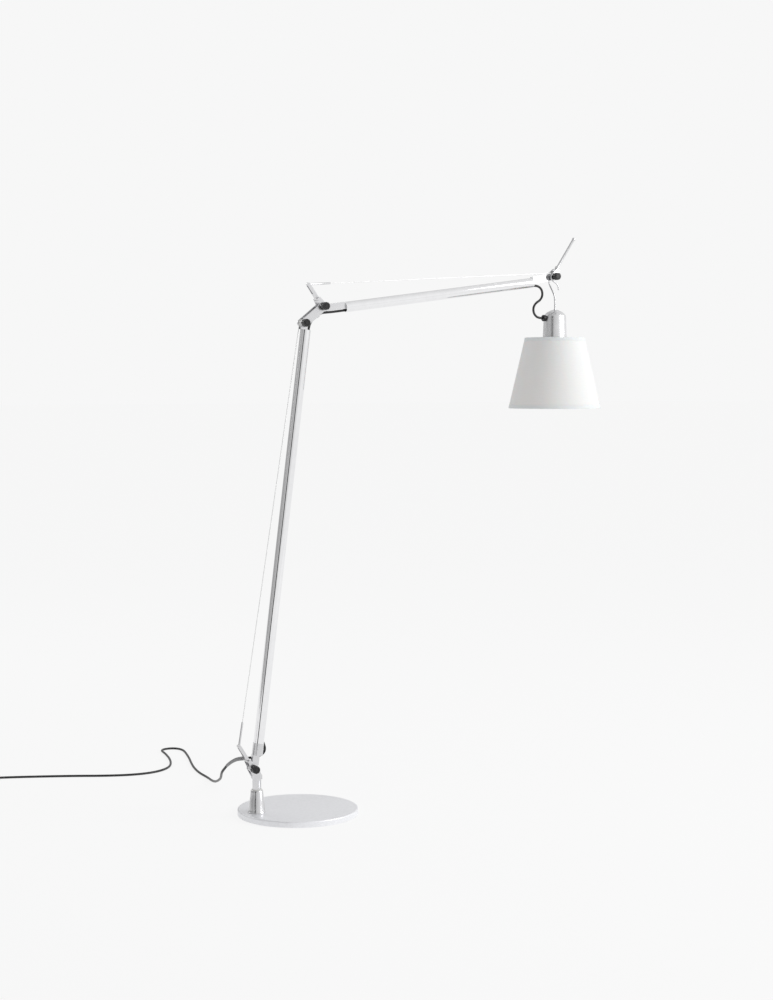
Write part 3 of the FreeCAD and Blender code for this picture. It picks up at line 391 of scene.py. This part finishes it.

# Strain relief: a tapered grey sleeve that carries the cord out of the lower joint.
sleeve_radius, narrowing = 3.9, 0.25
relief_route = [
    (stem_line - 22.0, 14.6, 113.8),
    (stem_line - 30.0, 14.8, 113.9),
    (stem_line - 37.5, 16.9, 111.8),
    (stem_line - 43.8, 22.6, 106.8),
    (stem_line - 47.8, 31.0, 99.5),
]
sleeve_curve = bpy.data.curves.new("relief", "CURVE")
sleeve_curve.dimensions = "3D"
sleeve_curve.resolution_u = 10
sleeve_line = sleeve_curve.splines.new("NURBS")
sleeve_line.points.add(len(relief_route) - 1)
for step, (point, place) in enumerate(zip(sleeve_line.points, relief_route)):
    point.co = (place[0] * mm, place[1] * mm, place[2] * mm, 1)
    point.radius = (sleeve_radius - narrowing * step) / sleeve_radius
sleeve_line.order_u = 3
sleeve_line.use_endpoint_u = True
sleeve_draft = bpy.data.objects.new("relief_line", sleeve_curve)
scene.collection.objects.link(sleeve_draft)
sleeve_curve.bevel_depth = sleeve_radius * mm
sleeve_curve.bevel_resolution = 6
sleeve_curve.use_fill_caps = True
sleeve = bpy.data.objects.new("cord_relief_sleeve", as_mesh(sleeve_draft))
bpy.data.objects.remove(sleeve_draft)
sleeve.data.materials.append(grey_sleeve)
sleeve.data.shade_smooth()
scene.collection.objects.link(sleeve)
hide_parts("cord_relief")
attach(sleeve, "swivel")

# Lamp cable at the joints: the black cable that runs inside both arms comes out at each joint in
# a short loop, long enough for the joint to fold, and goes back in.
pivots = {j["name"]: Vector(j["pos_m"]) for j in frame["joints"] if "pos_m" in j}
elbow, head = pivots["elbow_link_tilt"], pivots["head_tilt"]
arm_ends = {"lower": (pivots["lower_arm_tilt"], elbow), "upper": (pivots["upper_arm_tilt"], head)}
cable_line = -12.9


def at_arm(arm, x):
    """A point on an arm's cable line, this many millimetres along from the arm's own pivot."""
    near, far = arm_ends[arm]
    way = (far - near).normalized()
    place = near / mm + way * x + Vector((-way.z, 0, way.x)) * cable_line
    return tuple(place)


def beside(joint, x, z):
    """A point in the arms' plane, measured in millimetres from a joint's pivot."""
    return tuple(pivots[joint] / mm + Vector((x, 0, z)))


link_length, clip_along, clip_below, clip_reach = 50.8, 0.63, 7.9, 8.5
link_way = (arm_ends["upper"][0] - elbow).normalized()
link_down = Vector((link_way.z, 0, -link_way.x))
clip = elbow / mm + link_way * link_length * clip_along + link_down * clip_below
before_clip, after_clip = clip - link_way * clip_reach, clip + link_way * clip_reach
joint_loops = {
    "lower_loop_cable": (
        ("lower_arm", "swivel"),
        [at_arm("lower", 66.0), at_arm("lower", 55.8)]
        + [
            (stem_line + x, y, z)
            for x, y, z in [
                (14.7, 0.2, 140.8),
                (17.9, 1.4, 131.6),
                (17.0, 5.4, 122.8),
                (10.4, 10.0, 116.8),
                (0.0, 13.0, 114.6),
                (-9.6, 14.6, 113.8),
                (-21.95, 14.6, 113.8),
            ]
        ],
    ),
    "elbow_cable_a": (
        ("lower_arm", "link"),
        [at_arm("lower", 828.8), at_arm("lower", 839.3), beside("elbow_link_tilt", 17.56, 4.21)]
        + [tuple(before_clip), tuple(clip)],
    ),
    "elbow_cable_b": (
        ("link", "upper_arm"),
        [tuple(clip), tuple(after_clip)]
        + [beside("upper_arm_tilt", 6.08, -11.56), beside("upper_arm_tilt", 20.08, -10.36)]
        + [at_arm("upper", 35.0), at_arm("upper", 49.0)],
    ),
    "head_cable": (
        ("upper_arm", "head"),
        [at_arm("upper", 463.1), at_arm("upper", 472.5)]
        + [
            beside("head_tilt", x, z)
            for x, z in [
                (-27.83, -21.94),
                (-22.73, -29.94),
                (-22.73, -39.74),
                (-28.23, -47.94),
                (-37.13, -52.84),
                (-43.03, -60.54),
                (-43.73, -70.14),
                (-39.33, -78.34),
                (-31.53, -83.0),
                (-22.6, -83.0),
            ]
        ],
    ),
}
cable_diameter = 4.6 * mm
for node, (bodies, route) in joint_loops.items():
    loop, loop_line = lay_cord(node + "_sheath", route, cable_diameter, black_sheath)
    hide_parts(node)
    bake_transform(loop)

# Cast and turned pieces in general: each starts as its own accurate blank, has its corners broken
# by a fraction of a millimetre, and is given its finish.


def finish_blank(node, body, material, broken=0.25):
    """A rigid piece from its CAD node: merged, with softened corners and its own finish."""
    blank = bmesh.new()
    blank.from_mesh(frame["nodes"][node].data)
    bmesh.ops.remove_doubles(blank, verts=blank.verts, dist=2e-6)
    bmesh.ops.dissolve_limit(
        blank, angle_limit=math.radians(0.5), verts=blank.verts, edges=blank.edges
    )
    mesh = bpy.data.meshes.new(node + "_finished")
    blank.to_mesh(mesh)
    mesh.materials.clear()
    mesh.materials.append(material)
    mesh.shade_smooth()
    mesh.set_sharp_from_angle(angle=math.radians(32))
    piece = bpy.data.objects.new(mesh.name, mesh)
    scene.collection.objects.link(piece)
    if broken:
        corner = piece.modifiers.new("broken corners", "BEVEL")
        corner.width = broken * mm
        corner.segments = 2
        corner.limit_method = "ANGLE"
        corner.angle_limit = math.radians(40)
        corner.harden_normals = False
    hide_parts(node)
    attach(piece, body)
    return piece


# Foot: a heavy iron disc on a rubber pad, under a thin pressed cover painted satin silver grey.
foot_paint = grained("foot paint", (0.84, 0.845, 0.87), 0.36, 0.45, 2600, 0.22, 0.03)
raw_iron = grained("raw iron", (0.11, 0.108, 0.105), 0.7, 0.6, 500, 0.6, 0.2)
foot_rubber = grained("foot rubber", (0.03, 0.03, 0.03), 0.85, 0.0, 900, 0.5, 0.2)
plated_steel = grained("plated steel", (0.55, 0.55, 0.56), 0.28, 1.0, 900, 0.12)
finish_blank("base_cover", "base", foot_paint, 0.3)
finish_blank("base_weight", "base", raw_iron, 0.4)
finish_blank("base_pad", "base", foot_rubber, 0.0)
finish_blank("cone_screws", "base", plated_steel, 0.2)

# Stem: a turned cone on the foot, a plastic bush in it, and the stem that turns in the bush and
# carries two ears and the cross bolt of the lower joint.
satin_alloy = grained("satin alloy", (0.66, 0.66, 0.67), 0.2, 1.0, 1100, 0.1, 0.03)
natural_acetal = grained("natural acetal", (0.72, 0.72, 0.69), 0.5, 0.0, 900, 0.15, 0.05)
finish_blank("base_cone", "base", satin_alloy, 0.3)
finish_blank("stem_bush", "base", natural_acetal, 0.15)
finish_blank("stem", "swivel", satin_alloy, 0.3)
finish_blank("stem_clip", "swivel", plated_steel, 0.1)
finish_blank("lower_axle", "swivel", plated_steel, 0.15)
finish_blank("lower_washers", "swivel", natural_acetal, 0.0)
finish_blank("lower_prong", "swivel", satin_alloy, 0.25)

# Arms: polished drawn tubes with a cast tongue at one end and a cast fork and pulley at the other.
# The lower one leans a little forward and the upper one is nearly level.
nickel = grained("bright nickel", (0.72, 0.72, 0.73), 0.14, 1.0, 900, 0.06)
bright_wire = grained("bright wire", (0.9, 0.9, 0.9), 0.4, 1.0, 1500, 0.05)
for arm, (near, far) in arm_ends.items():
    lean = math.atan2(far.z - near.z, far.x - near.x)
    tube_polish = grained(
        arm + " tube polish", (0.86, 0.86, 0.87), 0.035, 1.0, 1300, 0.015, 0.02, (40, 1, 1), -lean
    )
    body = arm + "_arm"
    finish_blank(arm + "_tube", body, tube_polish, 0.2)
    finish_blank(arm + "_tongue", body, satin_alloy, 0.25)
    finish_blank(arm + "_fork", body, satin_alloy, 0.25)
    finish_blank(arm + "_arm_cable", body, black_sheath, 0.0)
    finish_blank(arm + "_pulley", arm + "_wheel", natural_acetal, 0.1)
    finish_blank(arm + "_wire_barrel", arm + "_barrel", nickel, 0.15)
    finish_blank(arm + "_wire", arm + "_line", bright_wire, 0.0)

# Balance springs: close-wound steel springs inside the tubes, each with a wire that runs on to the
# far pulley and half way round it.
coiling = bpy.data.node_groups.new("close coiling", "GeometryNodeTree")
coiling_sizes = {
    label: coiling.interface.new_socket(label, in_out="INPUT", socket_type="NodeSocketFloat")
    for label in ("Turns", "Radius", "Length", "Wire Radius")
}
coiling_steel = coiling.interface.new_socket("Steel", in_out="INPUT", socket_type="NodeSocketMaterial")
coiling.interface.new_socket("Geometry", in_out="OUTPUT", socket_type="NodeSocketGeometry")
given = coiling.nodes.new("NodeGroupInput")
result = coiling.nodes.new("NodeGroupOutput")
helix = coiling.nodes.new("GeometryNodeCurveSpiral")
helix.inputs["Resolution"].default_value = 14
section = coiling.nodes.new("GeometryNodeCurvePrimitiveCircle")
section.inputs["Resolution"].default_value = 7
drawn = coiling.nodes.new("GeometryNodeCurveToMesh")
drawn.inputs["Fill Caps"].default_value = True
joined = coiling.nodes.new("GeometryNodeRealizeInstances")
plated = coiling.nodes.new("GeometryNodeSetMaterial")
for source, target in (
    (given.outputs["Turns"], helix.inputs["Rotations"]),
    (given.outputs["Radius"], helix.inputs["Start Radius"]),
    (given.outputs["Radius"], helix.inputs["End Radius"]),
    (given.outputs["Length"], helix.inputs["Height"]),
    (given.outputs["Wire Radius"], section.inputs["Radius"]),
    (helix.outputs["Curve"], drawn.inputs["Curve"]),
    (section.outputs["Curve"], drawn.inputs["Profile Curve"]),
    (drawn.outputs["Mesh"], joined.inputs["Geometry"]),
    (joined.outputs["Geometry"], plated.inputs["Geometry"]),
    (given.outputs["Steel"], plated.inputs["Material"]),
    (plated.outputs["Geometry"], result.inputs["Geometry"]),
):
    coiling.links.new(source, target)


def farthest_part(edit, way):
    """Only the separate part of a mesh that reaches farthest along a direction."""
    left, best = set(edit.verts), None
    while left:
        part, edge = set(), [left.pop()]
        while edge:
            vert = edge.pop()
            part.add(vert)
            for side in vert.link_edges:
                other = side.other_vert(vert)
                if other in left:
                    left.discard(other)
                    edge.append(other)
        reach = max(v.co.dot(way) for v in part)
        if best is None or reach > best[0]:
            best = (reach, part)
    bmesh.ops.delete(edit, geom=[v for v in edit.verts if v not in best[1]], context="VERTS")


coil_pitch, coil_radius, coil_wire, spring_line = 1.27, 3.55, 0.6, -5.6
for arm, start, coil_length in (("lower", 80.0, 260.0), ("upper", 79.0, 190.0)):
    near, far = arm_ends[arm]
    way = (far - near).normalized()
    square = Vector((-way.z, 0, way.x))
    holder = bpy.data.objects.new(arm + "_coiling", bpy.data.meshes.new(arm + "_coiling"))
    scene.collection.objects.link(holder)
    wind = holder.modifiers.new("wind", "NODES")
    wind.node_group = coiling
    for label, value in (
        ("Turns", (coil_length - 2) / coil_pitch),
        ("Radius", coil_radius * mm),
        ("Length", (coil_length - 1.3) * mm),
        ("Wire Radius", coil_wire * mm),
    ):
        wind[coiling_sizes[label].identifier] = value
    wind[coiling_steel.identifier] = plated_steel
    mesh = as_mesh(holder)
    bpy.data.objects.remove(holder)
    lie = way.to_track_quat("Z", "Y").to_matrix().to_4x4()
    lie.translation = near + way * ((start + 0.65) * mm) + square * (spring_line * mm)
    mesh.transform(lie)
    mesh.shade_smooth()
    spring = bpy.data.objects.new(arm + "_spring_coils", mesh)
    scene.collection.objects.link(spring)
    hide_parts(arm + "_spring")
    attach(spring, arm + "_arm")
    strand = bmesh.new()
    strand.from_mesh(frame["nodes"][arm + "_spring"].data)
    bmesh.ops.remove_doubles(strand, verts=strand.verts, dist=2e-6)
    farthest_part(strand, way)
    strand_mesh = bpy.data.meshes.new(arm + "_return_wire")
    strand.to_mesh(strand_mesh)
    strand_mesh.materials.clear()
    strand_mesh.materials.append(bright_wire)
    strand_mesh.shade_smooth()
    strand_mesh.set_sharp_from_angle(angle=math.radians(32))
    return_wire = bpy.data.objects.new(strand_mesh.name, strand_mesh)
    scene.collection.objects.link(return_wire)
    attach(return_wire, arm + "_arm")

# Elbow: a cast link with ears at both ends, cross bolts, and the bent prong that holds the upper
# arm's wire.
finish_blank("elbow_link", "link", satin_alloy, 0.3)
finish_blank("elbow_axles", "link", plated_steel, 0.15)
finish_blank("elbow_washers", "link", natural_acetal, 0.0)
finish_blank("upper_prong", "link", satin_alloy, 0.25)

# Tightening knobs: black fluted mouldings on the studs of the four joints.
knob_black = grained("knob black", (0.006, 0.006, 0.007), 0.28, 0.0, 700, 0.25, 0.3)
for knob in ("lower_knob", "elbow_knob_a", "elbow_knob_b", "head_knob"):
    finish_blank(knob, knob + "_body", knob_black, 0.2)

# Head: two ears on the last joint with the handle above, a bent steel rod down to the socket
# cover, the lampholder in it, and the wire spider that carries the shade.
bulb_opal = grained("opal bulb glass", (0.86, 0.86, 0.83), 0.16, 0.0, 300, 0.05, 0.02)
cover_alloy = grained("brushed cover alloy", (0.74, 0.74, 0.75), 0.27, 1.0, 1200, 0.15, 0.04, (1, 1, 12))
for node, slot, material, broken in (
    ("head_axle", "steel", plated_steel, 0.15),
    ("head_washers", "bearing_plastic", natural_acetal, 0.0),
    ("head_hub", "cast_alloy", satin_alloy, 0.25),
    ("handle_collar", "nickel", nickel, 0.1),
    ("handle_rod", "nickel", nickel, 0.1),
    ("hanger", "steel", plated_steel, 0.1),
    ("head_hook", "steel", plated_steel, 0.0),
    ("socket_cover", "cast_alloy", cover_alloy, 0.2),
    ("cover_nut", "steel", plated_steel, 0.1),
    ("cable_gland", "dark_plastic", knob_black, 0.2),
    ("lampholder", "dark_plastic", knob_black, 0.3),
    ("shade_carrier", "steel", plated_steel, 0.1),
    ("ring_nut", "dark_plastic", knob_black, 0.3),
    ("bulb", "bulb_glass", bulb_opal, 0.0),
    ("bulb_cap", "steel", plated_steel, 0.2),
):
    finish_blank(node, "head", material, broken)

# Shade: off-white satin cloth bonded to a stiff white lining, rolled into a cone and bound at
# both edges with a narrow band of the same cloth.
shade_low, shade_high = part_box("shade")
shade_middle = Vector(((shade_low[0] + shade_high[0]) / 2, 0, 0))
shade_top, shade_bottom = shade_high[2], shade_low[2]
top_radius, bottom_radius = 60.0 * mm, 92.5 * mm


def cloth(name, colour, sheen, lit):
    """Fine satin weave on the piece's own UV map, which is in metres of cloth."""
    material = bpy.data.materials.new(name)
    material.use_nodes = True
    nodes, links = material.node_tree.nodes, material.node_tree.links
    shader = nodes["Principled BSDF"]
    shader.inputs["Roughness"].default_value = 0.72
    shader.inputs["Sheen Weight"].default_value = sheen
    shader.inputs["Sheen Roughness"].default_value = 0.4
    shader.inputs["Subsurface Weight"].default_value = lit
    shader.inputs["Subsurface Scale"].default_value = 0.01
    lie = nodes.new("ShaderNodeUVMap")
    lie.uv_map = "cloth"
    threads = []
    for direction in ("X", "Y"):
        thread = nodes.new("ShaderNodeTexWave")
        thread.bands_direction = direction
        thread.inputs["Scale"].default_value = 380 if direction == "X" else 300
        thread.inputs["Distortion"].default_value = 0.6
        thread.inputs["Detail"].default_value = 1
        links.new(lie.outputs["UV"], thread.inputs["Vector"])
        threads.append(thread)
    weave = nodes.new("ShaderNodeMath")
    weave.operation = "MULTIPLY"
    links.new(threads[0].outputs["Fac"], weave.inputs[0])
    links.new(threads[1].outputs["Fac"], weave.inputs[1])
    slub = nodes.new("ShaderNodeTexNoise")
    slub.inputs["Scale"].default_value = 60
    slub.inputs["Detail"].default_value = 5
    stretch = nodes.new("ShaderNodeMapping")
    stretch.inputs["Scale"].default_value = (1, 9, 1)
    links.new(lie.outputs["UV"], stretch.inputs["Vector"])
    links.new(stretch.outputs["Vector"], slub.inputs["Vector"])
    tint = nodes.new("ShaderNodeValToRGB")
    low, high = tint.color_ramp.elements
    low.position, high.position = 0.25, 0.75
    low.color = (*[c * 0.965 for c in colour], 1)
    high.color = (*colour, 1)
    links.new(slub.outputs["Fac"], tint.inputs["Fac"])
    links.new(tint.outputs["Color"], shader.inputs["Base Color"])
    relief = nodes.new("ShaderNodeBump")
    relief.inputs["Strength"].default_value = 0.35
    relief.inputs["Distance"].default_value = 0.0001
    links.new(weave.outputs["Value"], relief.inputs["Height"])
    links.new(relief.outputs["Normal"], shader.inputs["Normal"])
    return material


satin_cloth = cloth("satin cloth", (0.77, 0.77, 0.765), 0.15, 0.08)
lining = cloth("white lining", (0.88, 0.88, 0.86), 0.05, 0.05)

cone = bpy.data.node_groups.new("rolled cone", "GeometryNodeTree")
cone_sizes = {}
for label in ("Top Radius", "Bottom Radius", "Height", "Lift"):
    cone_sizes[label] = cone.interface.new_socket(label, in_out="INPUT", socket_type="NodeSocketFloat")
cone_cloth = cone.interface.new_socket("Cloth", in_out="INPUT", socket_type="NodeSocketMaterial")
cone.interface.new_socket("Geometry", in_out="OUTPUT", socket_type="NodeSocketGeometry")
enter = cone.nodes.new("NodeGroupInput")
leave = cone.nodes.new("NodeGroupOutput")
drum = cone.nodes.new("GeometryNodeMeshCylinder")
drum.fill_type = "NONE"
drum.inputs["Vertices"].default_value = 180
drum.inputs["Side Segments"].default_value = 16
drum.inputs["Radius"].default_value = 1.0
cone.links.new(enter.outputs["Height"], drum.inputs["Depth"])
where = cone.nodes.new("GeometryNodeInputPosition")
split = cone.nodes.new("ShaderNodeSeparateXYZ")
cone.links.new(where.outputs["Position"], split.inputs["Vector"])
rise = cone.nodes.new("ShaderNodeMath")
rise.operation = "DIVIDE"
cone.links.new(split.outputs["Z"], rise.inputs[0])
cone.links.new(enter.outputs["Height"], rise.inputs[1])
reach = cone.nodes.new("ShaderNodeMapRange")
reach.inputs["From Min"].default_value = -0.5
reach.inputs["From Max"].default_value = 0.5
reach.clamp = False
cone.links.new(rise.outputs["Value"], reach.inputs["Value"])
cone.links.new(enter.outputs["Bottom Radius"], reach.inputs["To Min"])
cone.links.new(enter.outputs["Top Radius"], reach.inputs["To Max"])
wide = cone.nodes.new("ShaderNodeCombineXYZ")
for axis in ("X", "Y"):
    grow = cone.nodes.new("ShaderNodeMath")
    grow.operation = "MULTIPLY"
    cone.links.new(split.outputs[axis], grow.inputs[0])
    cone.links.new(reach.outputs["Result"], grow.inputs[1])
    cone.links.new(grow.outputs["Value"], wide.inputs[axis])
raise_up = cone.nodes.new("ShaderNodeMath")
raise_up.operation = "ADD"
cone.links.new(split.outputs["Z"], raise_up.inputs[0])
cone.links.new(enter.outputs["Lift"], raise_up.inputs[1])
cone.links.new(raise_up.outputs["Value"], wide.inputs["Z"])
shape = cone.nodes.new("GeometryNodeSetPosition")
cone.links.new(drum.outputs["Mesh"], shape.inputs["Geometry"])
cone.links.new(wide.outputs["Vector"], shape.inputs["Position"])
whole = cone.nodes.new("GeometryNodeRealizeInstances")
cone.links.new(shape.outputs["Geometry"], whole.inputs["Geometry"])
dress = cone.nodes.new("GeometryNodeSetMaterial")
cone.links.new(whole.outputs["Geometry"], dress.inputs["Geometry"])
cone.links.new(enter.outputs["Cloth"], dress.inputs["Material"])
cone.links.new(dress.outputs["Geometry"], leave.inputs["Geometry"])


def roll_cone(name, drop, height, proud, wall, material):
    """One band of the shade, from a distance below its top edge, standing proud of its outer face."""
    full = shade_top - shade_bottom
    flare = bottom_radius - top_radius
    radii = [top_radius + flare * at / full + proud for at in (drop, drop + height)]
    holder = bpy.data.objects.new(name, bpy.data.meshes.new(name))
    scene.collection.objects.link(holder)
    roll = holder.modifiers.new("roll", "NODES")
    sizes = {
        "Top Radius": radii[0],
        "Bottom Radius": radii[1],
        "Height": height,
        "Lift": shade_top - drop - height / 2,
    }
    roll.node_group = cone
    for label, value in sizes.items():
        roll[cone_sizes[label].identifier] = value
    roll[cone_cloth.identifier] = material
    mesh = as_mesh(holder)
    bpy.data.objects.remove(holder)
    edit = bmesh.new()
    edit.from_mesh(mesh)
    bmesh.ops.recalc_face_normals(edit, faces=edit.faces)
    edit.faces.ensure_lookup_table()
    outward_way = edit.faces[0].calc_center_median() * Vector((1, 1, 0))
    if edit.faces[0].normal.dot(outward_way) < 0:
        bmesh.ops.reverse_faces(edit, faces=edit.faces)
    lay = edit.loops.layers.uv.new("cloth")
    for face in edit.faces:
        angles = [math.atan2(corner.vert.co.y, corner.vert.co.x) for corner in face.loops]
        if max(angles) - min(angles) > math.pi:
            angles = [a + 2 * math.pi if a < 0 else a for a in angles]
        for corner, angle in zip(face.loops, angles):
            corner[lay].uv = (angle * bottom_radius, corner.vert.co.z)
    bmesh.ops.translate(edit, verts=edit.verts, vec=shade_middle)
    edit.to_mesh(mesh)
    mesh.shade_smooth()
    piece = bpy.data.objects.new(name, mesh)
    scene.collection.objects.link(piece)
    thick = piece.modifiers.new("wall", "SOLIDIFY")
    thick.thickness = wall
    thick.offset = -1
    mesh.materials.clear()
    mesh.materials.append(material)
    mesh.materials.append(lining)
    thick.material_offset = 1
    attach(piece, "head")
    return piece


shade_height = shade_top - shade_bottom
shade_wall = roll_cone("shade_cloth", 0.0, shade_height, 0.0, 1.2 * mm, satin_cloth)
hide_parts("shade", "shade_rims")
binding_width = 6.5 * mm
for edge, drop in (("top", 0.0), ("bottom", shade_height - binding_width)):
    roll_cone("shade_binding_" + edge, drop, binding_width, 0.25 * mm, 0.3 * mm, satin_cloth)

size = {
    "cad": [list(map(float, c)) for c in cad_box],
    "visual": [list(map(float, c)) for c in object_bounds()],
}
